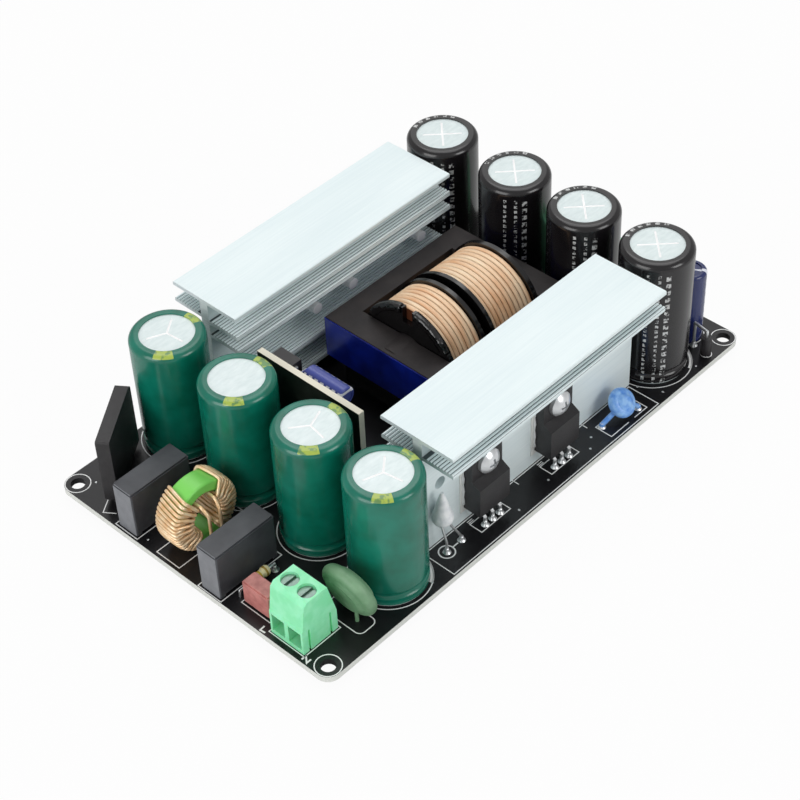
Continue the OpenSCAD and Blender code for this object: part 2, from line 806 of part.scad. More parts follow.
module transformer_bobbin() {
    color("#1a191b")
        at_transformer()
            difference() {
                union() {
                    translate([-flange_x, 0, core_z]) rotate([0, 90, 0])
                        cylinder(h = 2 * flange_x, d = tube_d);
                    bobbin_flange(-flange_x, flange_t);
                    bobbin_flange(flange_x - flange_t, flange_t);
                    for (x = split_x) bobbin_flange(x, split_t);
                    // End rails that carry the core and hold the pins
                    for (s = [0, 1]) mirror([s, 0, 0]) {
                        translate([-flange_x, -rail_w / 2 + 2, rail_bottom])
                            cube([flange_t, rail_w - 4, core_z - rail_bottom]);
                        translate([-core_l / 2 + 0.8, -rail_w / 2, rail_bottom])
                            cube([core_l / 2 - 0.8 - flange_x + flange_t, rail_w,
                                  core_z - core_h / 2 - rail_bottom]);
                        for (y = [-1, 1])
                            translate([-core_l / 2 + pin_in, y * (rail_w / 2 - 1.5), 0])
                                cylinder(h = rail_bottom + eps, d = 2.4);
                        for (i = [0 : pin_count - 1])
                            translate([-core_l / 2 + pin_in, (i - (pin_count - 1) / 2) * pin_pitch, 0])
                                cylinder(h = rail_bottom + eps, d = 0.8, $fn = 16);
                    }
                }
                translate([-core_l / 2, 0, core_z]) rotate([0, 90, 0])
                    cylinder(h = core_l, d = centre_leg_d + 2 * tube_play);
                translate([-flange_x - 1, -notch_w / 2, core_z + flange_d / 2 - notch_d])
                    cube([flange_t + 1 + eps, notch_w, notch_d + 1]);
            }
}

// Coil of touching turns, filling one chamber of the bobbin
module coil(x, l, turns) {
    pitch = l / turns;
    bead = pitch / 2;
    translate([x, 0, core_z]) rotate([0, 90, 0])
        rotate_extrude($fn = 72) {
            translate([tube_d / 2 + gap, 0]) square([(winding_d - tube_d) / 2 - gap - bead, l]);
            for (i = [0 : turns - 1])
                translate([winding_d / 2 - bead, (i + 0.5) * pitch]) circle(bead, $fn = 20);
        }
}

module transformer_winding_1() {
    x = -flange_x + flange_t + gap;
    color("#d9a069") at_transformer() coil(x, split_x[0] - gap - x, turns_1);
}

module transformer_winding_2() {
    x = split_x[1] + split_t + gap;
    color("#d9a069") at_transformer() coil(x, flange_x - flange_t - gap - x, turns_2);
}

// --- Control board, standing across the main board -------------------------------
control_face = control_t / 2;
cell_d = 5;
cell_l = 11.5;
cell_z = 27;
cell_y = 3.6;
chip_size = [3, 6.4, 9.2];
chip_at = [10.2, 24.6];

module at_control() { translate([control_at[0], control_at[1], top]) children(); }

module control_board() {
    color("#2a2c28")
        at_control()
            translate([-control_t / 2, -control_l / 2, 0]) cube([control_t, control_l, control_h]);
}

// Small can lying along the face, its two leads turned back into the board
module control_capacitor() {
    color("#3b4a92")
        at_control()
            translate([control_face + 0.3 + cell_d / 2, cell_y, cell_z]) {
                rotate([90, 0, 0])
                    difference() {
                        rotate_extrude() can_round(cell_d / 2, cell_l, 0.5);
                        translate([0, 0, cell_l - 0.2]) cylinder(h = 1, d = cell_d - 1.6);
                    }
                for (s = [-1, 1])
                    wire([[0, -eps, s], [0, 1.1, s],
                          [-cell_d / 2 - 0.3, 1.1, s]], 0.5);
            }
}

module can_round(r, h, edge) {
    square([r - edge, h]);
    square([r, h - edge]);
    translate([r - edge, h - edge]) circle(edge);
}

module control_chip() {
    pins = 4;
    color("#1f1f21")
        at_control()
            translate([control_face, chip_at[0], chip_at[1]]) {
                translate([0.5, -chip_size[1] / 2, -chip_size[2] / 2]) cube(chip_size);
                for (s = [-1, 1], i = [0 : pins - 1])
                    translate([0, s * (chip_size[1] / 2 + 0.3) - 0.3, (i - 1.5) * lead_pitch * 0.9 - 0.25])
                        cube([1.9, 0.6, 0.5]);
            }
}

// --- Parts along the front edge ---------------------------------------------------
drop_r = 2.5;
drop_z = 10.6;
drop_h = 6.6;
drop_at = [-2.3, 1.1];

// Bead of pale coating drawn up to a point against the heatsink
module wall_thermistor() {
    color("#c9cfd4")
        translate([thermistor_at[0], thermistor_at[1], top]) {
            translate([drop_at[0], drop_at[1], drop_z]) {
                sphere(drop_r);
                translate([0, 0, drop_r * 0.3])
                    cylinder(h = drop_h, r1 = drop_r * 0.95, r2 = 0.4);
            }
            wire([[-2.4, 0, 0], [-2.4, 0, 3], [drop_at[0] - 0.7, drop_at[1], drop_z - 1.4]], 0.6);
            wire([[2.5, 0, 0], [2.5, 0, 1.2], [drop_at[0] + 0.7, drop_at[1], drop_z - 1.4]], 0.6);
        }
}

y_cap_d = 7.4;
y_cap_t = 4.2;
y_cap_lean = 42;
y_cap_centre = [0.65, -0.75, 4.3];
y_cap_feet = [[-5.3, 0.3], [5.3, -2.1]];

// Small coated disc leaning back towards the heatsink on two stiff leads
module y_capacitor() {
    color("#5f93dc")
        translate([y_cap_at[0], y_cap_at[1], top]) {
            translate(y_cap_centre) rotate([0, 0, 90]) rotate([0, y_cap_lean, 0])
                coated_disc(y_cap_d, y_cap_t);
            for (f = y_cap_feet)
                wire([[f[0], f[1], 0], [f[0], f[1], 0.7],
                      y_cap_centre + [f[0] * 0.25, 0, -0.9]], 1.3);
        }
}

slim_d = 8;
slim_h = 20.5;

module slim_capacitor() {
    color("#27357c")
        translate([slim_cap_at[0], slim_cap_at[1], top])
            difference() {
                rotate_extrude() can_round(slim_d / 2, slim_h, 0.9);
                translate([0, 0, slim_h - 0.25]) cylinder(h = 1, d = slim_d - 2.6);
            }
}

diode_d = 2.7;
diode_l = 5.2;
diode_lift = 0.4;
diode_loop = 7.2;
diode_reach = [0.8, 4.2];

module standing_diode() {
    color("#1f1f21")
        translate([diode_at[0], diode_at[1], top]) {
            translate([0, 0, diode_lift]) cylinder(h = diode_l, d = diode_d);
            wire([[0, 0, 0], [0, 0, diode_loop], [diode_reach[0], diode_reach[1], diode_loop],
                  [diode_reach[0], diode_reach[1], 0]], 0.8);
        }
}

// --- Solder joints under the board: a cone round the end of every lead ------------
function turned(p, a) = [p[0] * cos(a) - p[1] * sin(a), p[0] * sin(a) + p[1] * cos(a)];
function block_feet(at, poles, turn) =
    [for (i = [0 : poles - 1]) at + turned([-0.5, pole_y(poles, i)], turn)];
function pair_x(at, pitch) = [for (s = [-1, 1]) [at[0] + s * pitch / 2, at[1]]];
function pair_y(at, pitch) = [for (s = [-1, 1]) [at[0], at[1] + s * pitch / 2]];
function offsets(at, list) = [for (p = list) [at[0] + p[0], at[1] + p[1]]];
function transistor_feet(at, inner, x) =
    [for (i = [-1 : 1]) [x + i * lead_pitch,
        at[1] - inner * (wall_t / 2 + pad_t - lead_foot_y + lead_d / 2)]];

can_pitch = 10;
box_pitch = 15;
lead_feet = concat(
    block_feet(input_block_at, 2, 0), block_feet(output_block_at, output_poles, 180),
    pair_y(fuse_at, fuse_pitch), pair_x(resistor_at, resistor_pitch), offsets(disc_at, disc_feet),
    pair_x(x_cap_1_at, box_pitch), pair_x(x_cap_2_at, box_pitch),
    [for (s = [-1, 1], p = [foot, [lead_x, lead_y]])
        choke_at + [s * p[0], p[1]]],
    [for (i = [0 : 3]) bridge_at
        + turned([bridge_l / 2 + (i - 1.5) * bridge_pitch, -bridge_t / 2], bridge_turn)],
    [for (y = bulk_y, s = [-1, 1]) [bulk_x, y + s * can_pitch / 2]],
    [for (y = output_y, s = [-1, 1]) [output_x, y + s * can_pitch / 2]],
    [for (x = primary_holes) each transistor_feet(primary_sink_at, -1, x)],
    [for (i = [1, 2]) each transistor_feet(output_sink_at, 1, output_holes[i])],
    [for (s = [-1, 1], i = [0 : pin_count - 1]) transformer_at
        + [s * (core_l / 2 - pin_in), (i - (pin_count - 1) / 2) * pin_pitch]],
    [for (i = [0 : 9]) [control_at[0], control_at[1] + (i - 4.5) * lead_pitch]],
    offsets(thermistor_at, [[-2.4, 0], [2.5, 0]]), offsets(y_cap_at, y_cap_feet),
    pair_y(slim_cap_at, 3.5), [diode_at, diode_at + diode_reach]);

module solder_joints() {
    color("#c9cdcf")
        for (p = lead_feet)
            translate([p[0], p[1], 0]) mirror([0, 0, 1]) {
                cylinder(h = tail_h * 0.65, d1 = 2, d2 = 1, $fn = 16);
                cylinder(h = tail_h, d = 0.9, $fn = 16);
            }
}

circuit_board();
input_terminal_housing();
output_terminal_housing();
terminal_screws();
terminal_clamps();
input_fuse();
inrush_disc();
bleed_resistor();
x_capacitor_1();
x_capacitor_2();
choke_core();
choke_winding_1();
choke_winding_2();
bridge_rectifier();
bulk_can_1();
bulk_can_2();
bulk_can_3();
bulk_can_4();
bulk_sleeve_1();
bulk_sleeve_2();
bulk_sleeve_3();
bulk_sleeve_4();
output_can_1();
output_can_2();
output_can_3();
output_can_4();
output_sleeve_1();
output_sleeve_2();
output_sleeve_3();
output_sleeve_4();
primary_heatsink();
output_heatsink();
primary_transistor_1();
primary_transistor_2();
primary_transistor_3();
output_transistor_1();
output_transistor_2();
insulating_pads();
heatsink_screws();
core_half_1();
core_half_2();
core_tape();
transformer_bobbin();
transformer_winding_1();
transformer_winding_2();
control_board();
control_capacitor();
control_chip();
wall_thermistor();
y_capacitor();
slim_capacitor();
standing_diode();
solder_joints();
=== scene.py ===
# %% [markdown]
# # Dressing an open frame power supply
# A switch-mode power supply without a case: one black circuit board, four
# mains capacitors in green sleeves, a lying transformer between two finned
# aluminium heatsinks, and four output capacitors in black sleeves. The solids
# come finished from the imported frame. This lesson gives each of them its real
# finish, and adds what is too thin for solids: the printed legend, the solder,
# the round wire of the choke, some heat paste and a thin film.

# %% The frame, and the box round it
import math

import bmesh
import bpy
from mathutils import Matrix, Vector


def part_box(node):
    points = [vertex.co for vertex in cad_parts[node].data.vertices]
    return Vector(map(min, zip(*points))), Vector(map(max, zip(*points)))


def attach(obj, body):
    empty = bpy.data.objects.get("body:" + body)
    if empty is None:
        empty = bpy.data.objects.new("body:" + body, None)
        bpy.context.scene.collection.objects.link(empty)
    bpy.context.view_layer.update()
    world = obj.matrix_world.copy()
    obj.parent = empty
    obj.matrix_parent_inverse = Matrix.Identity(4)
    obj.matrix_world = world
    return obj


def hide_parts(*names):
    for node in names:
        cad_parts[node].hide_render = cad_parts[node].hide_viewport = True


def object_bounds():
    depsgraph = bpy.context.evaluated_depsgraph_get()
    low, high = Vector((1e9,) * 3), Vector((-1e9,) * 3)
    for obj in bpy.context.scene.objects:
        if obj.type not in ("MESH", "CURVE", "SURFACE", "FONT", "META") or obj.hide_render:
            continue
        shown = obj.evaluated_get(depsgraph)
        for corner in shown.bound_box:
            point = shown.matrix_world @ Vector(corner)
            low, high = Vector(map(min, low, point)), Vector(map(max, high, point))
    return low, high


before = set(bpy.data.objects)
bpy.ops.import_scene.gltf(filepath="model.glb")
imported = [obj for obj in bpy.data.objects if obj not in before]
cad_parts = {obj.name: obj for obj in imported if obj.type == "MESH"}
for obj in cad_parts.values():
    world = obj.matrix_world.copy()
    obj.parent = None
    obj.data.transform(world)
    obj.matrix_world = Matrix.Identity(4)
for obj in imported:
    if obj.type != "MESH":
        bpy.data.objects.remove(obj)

MM = 0.001
cad_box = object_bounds()
print("nodes:", len(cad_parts))
print("size in mm:", [round(v / MM, 1) for v in cad_box[1] - cad_box[0]])


# %% [markdown]
# ## Camera and studio
# A long lens from a corner, high enough to see all the tops. The view is set
# by three axes: right, up and back, which become the columns of its matrix.

# %% Camera
lens_mm = 89.24
eye = Vector((-247.0, -244.1, 327.3)) * MM
right = Vector((0.68382, -0.72879, -0.03537))
up = Vector((0.5146, 0.4473, 0.7315))
back = right.cross(up)

camera = bpy.data.objects.new("camera", bpy.data.cameras.new("camera"))
camera.data.lens = lens_mm
camera.data.clip_end = 20
axes = Matrix((right, up, back)).transposed().to_4x4()
camera.matrix_world = Matrix.Translation(eye) @ axes
bpy.context.scene.collection.objects.link(camera)
bpy.context.scene.camera = camera
bpy.context.scene.view_settings.view_transform = "Standard"
print("camera looks along", [round(v, 3) for v in -back])


# %% [markdown]
# ## Helpers for every finish
# Colours are noted as sRGB hex, as in a paint shop, and turned to the linear
# values that a shader wants. `add` puts one node into a material, with its
# settings and its links. Most patterns here read the place on the object in
# metres, so a pattern's scale is one over its real size in metres. `dress`
# gives a finish to whole nodes, and `second_finish` to some of their faces.

# %% Colour and nodes
def linear(code):
    parts = [int(code[i:i + 2], 16) / 255 for i in (1, 3, 5)]
    return [v / 12.92 if v <= 0.04045 else ((v + 0.055) / 1.055) ** 2.4 for v in parts] + [1]


def add(tree, kind, inputs=None, **settings):
    made = tree.nodes.new(kind)
    for key, value in settings.items():
        setattr(made, key, value)
    for key, value in (inputs or {}).items():
        if isinstance(value, bpy.types.NodeSocket):
            tree.links.new(value, made.inputs[key])
        else:
            made.inputs[key].default_value = value
    return made


def finish(name, colour, rough, **more):
    """A shader with plain values; patterns are then linked into it."""
    made = bpy.data.materials.new(name)
    made.use_nodes = True
    tree = made.node_tree
    shader = tree.nodes["Principled BSDF"]
    shader.inputs["Base Color"].default_value = linear(colour)
    shader.inputs["Roughness"].default_value = rough
    for key, value in more.items():
        shader.inputs[key.replace("_", " ")].default_value = value
    place = add(tree, "ShaderNodeTexCoord").outputs["Object"]
    return made, tree, shader, place


def colour_in(tree, shader, share, low, high):
    mixed = add(tree, "ShaderNodeMix", {0: share, 6: linear(low), 7: linear(high)},
                data_type="RGBA")
    tree.links.new(mixed.outputs[2], shader.inputs["Base Color"])
    return mixed


def relief(tree, shader, height, depth_mm, strength=1.0):
    bump = add(tree, "ShaderNodeBump", {"Height": height, "Distance": depth_mm * MM,
                                        "Strength": strength})
    tree.links.new(bump.outputs["Normal"], shader.inputs["Normal"])
    return bump


def grain(tree, place, size_mm, detail=4.0, stretch=(1, 1, 1)):
    """Noise with features of a real size, longer along an axis where stretch is small."""
    scaled = add(tree, "ShaderNodeVectorMath", {0: place, 1: stretch}, operation="MULTIPLY")
    noise = add(tree, "ShaderNodeTexNoise", {"Vector": scaled.outputs[0],
                                             "Scale": 1 / (size_mm * MM), "Detail": detail})
    return noise.outputs["Fac"]


def ramp(tree, value, start, end, low=0.0, high=1.0):
    """Takes a value from one range to another, and stops at its ends."""
    return add(tree, "ShaderNodeMapRange", {"Value": value, "From Min": start, "From Max": end,
                                            "To Min": low, "To Max": high}).outputs["Result"]


def maths(tree, operation, *values):
    return add(tree, "ShaderNodeMath", dict(enumerate(values)), operation=operation).outputs[0]


def product(tree, first, *others):
    for other in others:
        first = maths(tree, "MULTIPLY", first, other)
    return first


def dashes(tree, value, pitch, share):
    """One for the first share of every pitch, and nought for the rest."""
    part = maths(tree, "FRACT", maths(tree, "DIVIDE", value, pitch))
    return maths(tree, "LESS_THAN", part, share)


def dress(finish_made, *names):
    for name in names:
        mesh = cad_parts[name].data
        mesh.materials.clear()
        mesh.materials.append(finish_made)
    print(finish_made.name, "on", ", ".join(names))


def second_finish(finish_made, test, *names):
    """Gives a further finish to the faces of a node whose centre and normal pass the test."""
    for name in names:
        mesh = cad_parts[name].data
        mesh.materials.append(finish_made)
        count = 0
        for face in mesh.polygons:
            if test(face.center / MM, face.normal):
                face.material_index = len(mesh.materials) - 1
                count += 1
        print(name, "has", count, "faces of", finish_made.name)


# %% [markdown]
# ## White room
# The room is a white tent: the floor and the walls are white, so the gloss of
# black plastic mirrors white planes. The world gives the even light. A large
# lamp above lights the plates and the capacitor tops, one far behind is
# mirrored by the black tops, and two lower ones, at the left and in front,
# brighten the upright faces. Their powers are set so that bare aluminium lying
# flat comes out just short of white. The camera sees the paper itself as plain
# white.

# %% World, floor and lamps
world = bpy.data.worlds.new("white tent")
bpy.context.scene.world = world
world.use_nodes = True
sky = world.node_tree
path = add(sky, "ShaderNodeLightPath")
seen = maths(sky, "MAXIMUM", path.outputs["Is Camera Ray"], path.outputs["Is Transmission Ray"])
room_light, seen_light = 0.46, 1.0
level = ramp(sky, seen, 0, 1, room_light, seen_light)
sky.links.new(level, sky.nodes["Background"].inputs["Strength"])
sky.nodes["Background"].inputs["Color"].default_value = (1, 1, 1, 1)

floor_z, floor_half = cad_box[0].z, 1.5
bm = bmesh.new()
bmesh.ops.create_grid(bm, x_segments=8, y_segments=8, size=floor_half,
                      matrix=Matrix.Translation((0, 0, floor_z)))
floor = bpy.data.objects.new("floor", bpy.data.meshes.new("floor"))
bm.to_mesh(floor.data)
bm.free()
bpy.context.scene.collection.objects.link(floor)

paper, tree, shader, place = finish("white_paper_sweep", "#dedede", 0.9)
lit = add(tree, "ShaderNodeEmission", {"Strength": 1.0})
path = add(tree, "ShaderNodeLightPath")
plain_share = 0.95
share = maths(tree, "MULTIPLY", path.outputs["Is Camera Ray"], plain_share)
both = add(tree, "ShaderNodeMixShader", {0: share, 1: shader.outputs[0], 2: lit.outputs[0]})
tree.links.new(both.outputs[0], tree.nodes["Material Output"].inputs["Surface"])
floor.data.materials.append(paper)

# Name, place in metres, side in metres, power in watts
for name, spot, size, power in [("key_lamp", (0.3, 0.25, 1.0), 0.8, 3.3),
                                ("back_lamp", (0.7, 0.7, 0.8), 0.9, 1.5),
                                ("side_lamp", (-1.0, 0.0, 0.4), 0.7, 4.6),
                                ("front_lamp", (0.2, -1.0, 0.5), 0.5, 3.2)]:
    lamp = bpy.data.objects.new(name, bpy.data.lights.new(name, "AREA"))
    lamp.data.size = size
    lamp.data.energy = power
    lamp.location = spot
    lamp.rotation_euler = (-Vector(spot)).to_track_quat("-Z", "Y").to_euler()
    bpy.context.scene.collection.objects.link(lamp)
    print(name, power, "W at", spot)


# %% [markdown]
# ## Circuit board
# The board is glass cloth in epoxy, 1.6 mm thick. A black solder mask, a
# printed lacquer, covers both faces: glossy, not quite even, and a little
# lighter where copper lies under it. The sawn edge stays bare and shows the
# pale laminate in fine layers.

# %% Places that several steps share, in mm
BOARD_TOP = 1.6
HOLE_X, HOLE_Y = 69.55, 41
bulk_caps = [(-42.6, y) for y in (34.5, 11.5, -11.7, -33.3)]
output_caps = [(51.2, y) for y in (35.2, 11.3, -10.5, -32.5)]
slim_cap, diode = (65, -32.9), (61.7, -41.4)
holes = [(x, y) for x in (-HOLE_X, HOLE_X) for y in (-HOLE_Y, HOLE_Y)]
output_legs, output_foot = [-14.4, 10.0], -38.8
primary_legs, primary_foot = [-2.5, 9.8, 34.3], 40.8
output_transistors = ["output_transistor_%d" % i for i in (1, 2)]
primary_transistors = ["primary_transistor_%d" % i for i in (1, 2, 3)]
print(len(bulk_caps), "and", len(output_caps), "tall capacitors,", len(holes), "holes")


# %% Solder mask and bare edge
def on_sawn_edge(c, n):
    """Upright faces of the board's rim, without the walls of the four holes."""
    hole_reach = 1.9
    upright = abs(n.z) < 0.5 and c.z < BOARD_TOP
    outside = abs(c.x) > HOLE_X + 0.05 or abs(c.y) > HOLE_Y + 0.1
    in_hole = abs(abs(c.x) - HOLE_X) < hole_reach and abs(abs(c.y) - HOLE_Y) < hole_reach
    return upright and outside and not in_hole


mask, tree, shader, place = finish("black_solder_mask", "#18171a", 0.36, Coat_Weight=0.1,
                                   Coat_Roughness=0.2, Specular_IOR_Level=0.38)
copper_below = ramp(tree, grain(tree, place, 14, 2), 0.45, 0.6)
colour_in(tree, shader, copper_below, "#100f12", "#19181b")
relief(tree, shader, grain(tree, place, 0.5, 3), 0.02, 0.4)

laminate, tree, shader, place = finish("glass_epoxy_edge", "#dfe1dc", 0.6)
layers = grain(tree, place, 0.25, 3, (0.1, 0.1, 1))
colour_in(tree, shader, layers, "#cfd2cb", "#f1f2ee")
relief(tree, shader, layers, 0.05)

dress(mask, "circuit_board")
second_finish(laminate, on_sawn_edge, "circuit_board")


# %% [markdown]
# ## Printed legend
# White ink, in lines about 0.25 mm wide, shows where each part goes: rings
# round the tall capacitors and the mounting holes, outlines round the
# heatsinks and the small parts, and the two terminal marks L and N. Each line
# is a flat ribbon of mesh, 0.03 mm above the board, so it keeps its sharp edge
# at any distance.

# %% A ribbon along points, with mitred corners
ink_z = BOARD_TOP + 0.03


def ribbon(bm, points, width=0.26, closed=False, z=ink_z):
    spots = [Vector(p) for p in points]
    count = len(spots)
    rows = []
    for i, spot in enumerate(spots):
        before = spots[i - 1] if closed or i else spots[i + 1] * -1 + spot * 2
        after = spots[(i + 1) % count] if closed or i < count - 1 else spot * 2 - spots[i - 1]
        if not closed and i == 0:
            before = spot * 2 - after
        a, b = (spot - before).normalized(), (after - spot).normalized()
        normal = Vector((-(a + b).y, (a + b).x)).normalized()
        half = width / 2 / max(0.5, normal.dot(Vector((-a.y, a.x))))
        rows.append([bm.verts.new(((spot + normal * s * half).to_3d() + Vector((0, 0, z))) * MM)
                     for s in (1, -1)])
    pairs = list(zip(rows, rows[1:])) + ([(rows[-1], rows[0])] if closed else [])
    for (a, b), (c, d) in pairs:
        bm.faces.new((a, b, d, c))


def arc(centre, radius, start=0.0, end=360.0, steps=48):
    return [(centre[0] + radius * math.cos(math.radians(start + (end - start) * i / steps)),
             centre[1] + radius * math.sin(math.radians(start + (end - start) * i / steps)))
            for i in range(steps + 1)]


def box_line(x0, y0, x1, y1):
    return [(x0, y0), (x1, y0), (x1, y1), (x0, y1)]


def rounded_line(x0, y0, x1, y1, r):
    corners = [(x1 - r, y1 - r, 0), (x0 + r, y1 - r, 90), (x0 + r, y0 + r, 180),
               (x1 - r, y0 + r, 270)]
    return [p for x, y, turned in corners for p in arc((x, y), r, turned, turned + 90, 6)]


def piece(name, bm, made, smooth=False):
    """Turns worked mesh into an object that rides on the part."""
    bmesh.ops.recalc_face_normals(bm, faces=bm.faces)
    data = bpy.data.meshes.new(name)
    bm.to_mesh(data)
    bm.free()
    for face in data.polygons:
        face.use_smooth = smooth
    thing = bpy.data.objects.new(name, data)
    bpy.context.scene.collection.objects.link(thing)
    data.materials.append(made)
    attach(thing, "root")
    print(name, len(data.polygons), "faces")
    return thing


# %% White ink, with rings round the holes and the tall capacitors
ink, tree, shader, place = finish("white_legend_ink", "#f6f7f6", 0.5)
relief(tree, shader, grain(tree, place, 0.3, 3), 0.01, 0.5)

bm = bmesh.new()
hole_ring = 3.0
for hole in holes:
    ribbon(bm, arc(hole, hole_ring)[:-1], closed=True)
# Centre, ring radius, and the angle of the minus side of each tall capacitor
rings = [(c, 9.75, -38) for c in bulk_caps] + [(c, 10.2, -45) for c in output_caps]
ink_limit = 43.8
# A ring that would run over the board's long edge is left open there
for cap, radius, middle in rings:
    whole = arc(cap, radius, 90, 450, 72)
    kept = [p for p in whole if abs(p[1]) < ink_limit]
    if len(kept) == len(whole):
        ribbon(bm, kept[:-1], closed=True)
    else:
        ribbon(bm, kept)
# Solid crescent on the minus side
crescent_half, crescent_w = 22, 0.7
for cap, radius, middle in rings:
    ribbon(bm, arc(cap, radius - crescent_w / 2, middle - crescent_half, middle + crescent_half,
                   16), crescent_w)
print("rings round", len(holes), "holes and", len(rings), "capacitors")

# %% Long outlines of the two heatsinks, and boxes round their transistors' legs
ribbon(bm, box_line(-32.8, -43.7, 40.1, -34.7), closed=True)
ribbon(bm, box_line(-31.7, 36.7, 42.6, 43.7), closed=True)
for y, ends in [(-35.1, (-2.4, 22.4)), (37.1, (22.0,))]:
    for x in ends:
        ribbon(bm, [(x, y - 1.2), (x, y + 1.2)])
legs_half = 4.9
for x in output_legs:
    ribbon(bm, box_line(x - legs_half, -39.9, x + legs_half, -36.3), closed=True)
    for offset in (0.5, 1.0):
        ribbon(bm, [(x - legs_half, -34.9 - offset), (x - 3.2, -34.9 - offset)])
for x in primary_legs:
    ribbon(bm, box_line(x - legs_half, 38.3, x + legs_half, 41.9), closed=True)
print("boxes at x", *output_legs, *primary_legs)

# %% Box capacitors, choke, bridge, fuse, inrush disc and terminal blocks
box_x, box_y = 9.3, 3.7
for x, y in [(-62.9, 20.8), (-63.2, -7.2)]:
    ribbon(bm, box_line(x - box_x, y - box_y, x + box_x, y + box_y), closed=True)
ribbon(bm, box_line(-71.8, 3.4, -50.2, 10.9), closed=True)
ribbon(bm, [(-70.0, 26.8), (-71.8, 29.4), (-68.4, 31.6)])
ribbon(bm, box_line(-69.5, -23.2, -64.5, -14.3), closed=True)
ribbon(bm, rounded_line(-59.2, -40.4, -53.8, -28.4, 1.5), closed=True)
ribbon(bm, box_line(-71.3, -35.6, -60.3, -24.8), closed=True)
ribbon(bm, box_line(60.7, -10.5, 71.6, 10.5), closed=True)
print("small outlines:", len(bm.faces), "faces so far")

# %% Thermistor, Y capacitor, diode and slim capacitor, and the terminal marks
ribbon(bm, arc((-28.9, -38.0), 1.9)[:-1], 0.34, closed=True)
ribbon(bm, [(-26.9, -38.0), (-25.2, -38.0)], 0.34)
ribbon(bm, [(30.4, -42.4), (23.9, -42.4), (23.9, -37.6), (37.3, -37.6), (37.3, -42.4),
            (32.6, -42.4)])
ribbon(bm, arc((61.9, -41.5), 1.35)[:-1], 0.24, closed=True)
ribbon(bm, arc(slim_cap, 4.5)[:-1], 0.22, closed=True)
ribbon(bm, [(-70.9, -23.0), (-72.3, -23.1), (-72.15, -24.5)], 0.42)
ribbon(bm, [(-72.1, -35.6), (-70.8, -35.6), (-72.1, -37.1), (-70.8, -37.1)], 0.45)
piece("printed_legend", bm, ink)


# %% [markdown]
# ## Solder and bare metal
# Leads are tinned copper and end in a bright fillet of solder, which climbs
# the lead in a hollow curve. One revolved profile stands for it at every lead
# that can be seen from above. The cones under the board are solids already.

# %% A profile turned about an upright axis
def turn(bm, profile, centre, steps=20):
    rings = [[bm.verts.new((centre[0] * MM + r * MM * math.cos(2 * math.pi * k / steps),
                            centre[1] * MM + r * MM * math.sin(2 * math.pi * k / steps), z * MM))
              for k in range(steps)] for r, z in profile]
    for low, high in zip(rings, rings[1:]):
        for k in range(steps):
            bm.faces.new((low[k], low[(k + 1) % steps], high[(k + 1) % steps], high[k]))
    bm.faces.new(rings[-1])


# %% Solder and plated steel, and the fillets round the leads
solder, tree, shader, place = finish("tin_solder", "#e6e9ea", 0.28, Metallic=0.85)
relief(tree, shader, grain(tree, place, 0.7, 3), 0.06)
steel, tree, shader, place = finish("zinc_plated_steel", "#e8eaec", 0.3, Metallic=0.8)
relief(tree, shader, grain(tree, place, 0.6, 4), 0.03)

bm = bmesh.new()
fillet = [(1.0, 0.02), (0.85, 0.18), (0.62, 0.45), (0.5, 0.85), (0.44, 1.3)]
lead_pitch = 2.54
leads = [(x + k * lead_pitch, y) for xs, y in ((output_legs, output_foot),
                                               (primary_legs, primary_foot))
         for x in xs for k in (-1, 0, 1)]
leads += [(-28.9, -38.0), (-24.0, -38.0), diode, (62.5, -37.2), (-57.9, -12.9),
          (25.0, -38.6), (35.6, -41.0), (-60.3, 0.9), (-63.5, 0.9)]
for spot in leads:
    turn(bm, [(r, BOARD_TOP + z) for r, z in fillet], spot)
piece("solder_fillets", bm, solder, smooth=True)

# %% Small plated holes, filled with solder
bm = bmesh.new()
vias = [(-8.5, -41.6), (3.2, -40.4), (17.5, -41.2), (20.6, -38.9), (41.5, -36.2), (44.1, -41.9),
        (-37.8, -41.7), (56.7, -42.3), (-49.5, -0.4), (-52.6, 23.9), (-70.6, 15.2), (-66.5, 38.1)]
for spot in vias:
    turn(bm, [(0.3, BOARD_TOP + 0.02), (0.24, BOARD_TOP + 0.08)], spot, 12)
piece("tinned_vias", bm, solder, smooth=True)
dress(solder, "solder_joints")


# %% [markdown]
# ## Terminal blocks and fuse
# The terminals are moulded polyamide in a pale green, a slightly translucent
# plastic whose thin walls glow. The screws are nickel plated and a little
# tarnished; the clamps in the dark wells are tinned brass, painted dark greenish
# grey as painted shade of the wells. The fuse is a small box of dull red
# thermoplastic.

# %% Polyamide, nickel and thermoplastic
polyamide, tree, shader, place = finish("pale_green_polyamide", "#86e6ae", 0.36,
                                        Subsurface_Weight=0.12, Subsurface_Scale=0.0008)
colour_in(tree, shader, ramp(tree, grain(tree, place, 3, 2), 0.4, 0.65), "#8ef2b7", "#a2fbc9")
relief(tree, shader, grain(tree, place, 0.25, 2), 0.01, 0.4)
dress(polyamide, "input_terminal_housing", "output_terminal_housing")

nickel, tree, shader, place = finish("nickel_plated_steel", "#93a79e", 0.45, Metallic=1.0)
relief(tree, shader, grain(tree, place, 0.4, 3), 0.05)
dress(nickel, "terminal_screws")
# Painted shade: the clamps are painted dark greenish grey, the shade of the wells they sit in
tinned, tree, shader, place = finish("tinned_brass_clamp_painted_shade", "#27342e", 0.45, Metallic=0.6)
relief(tree, shader, grain(tree, place, 0.5, 3), 0.03)
dress(tinned, "terminal_clamps")

red_plastic, tree, shader, place = finish("dull_red_thermoplastic", "#9c534f", 0.4)
colour_in(tree, shader, ramp(tree, grain(tree, place, 2, 3), 0.35, 0.65), "#b66f6a", "#d38b84")
relief(tree, shader, grain(tree, place, 0.3, 3), 0.02, 0.5)
dress(red_plastic, "input_fuse")


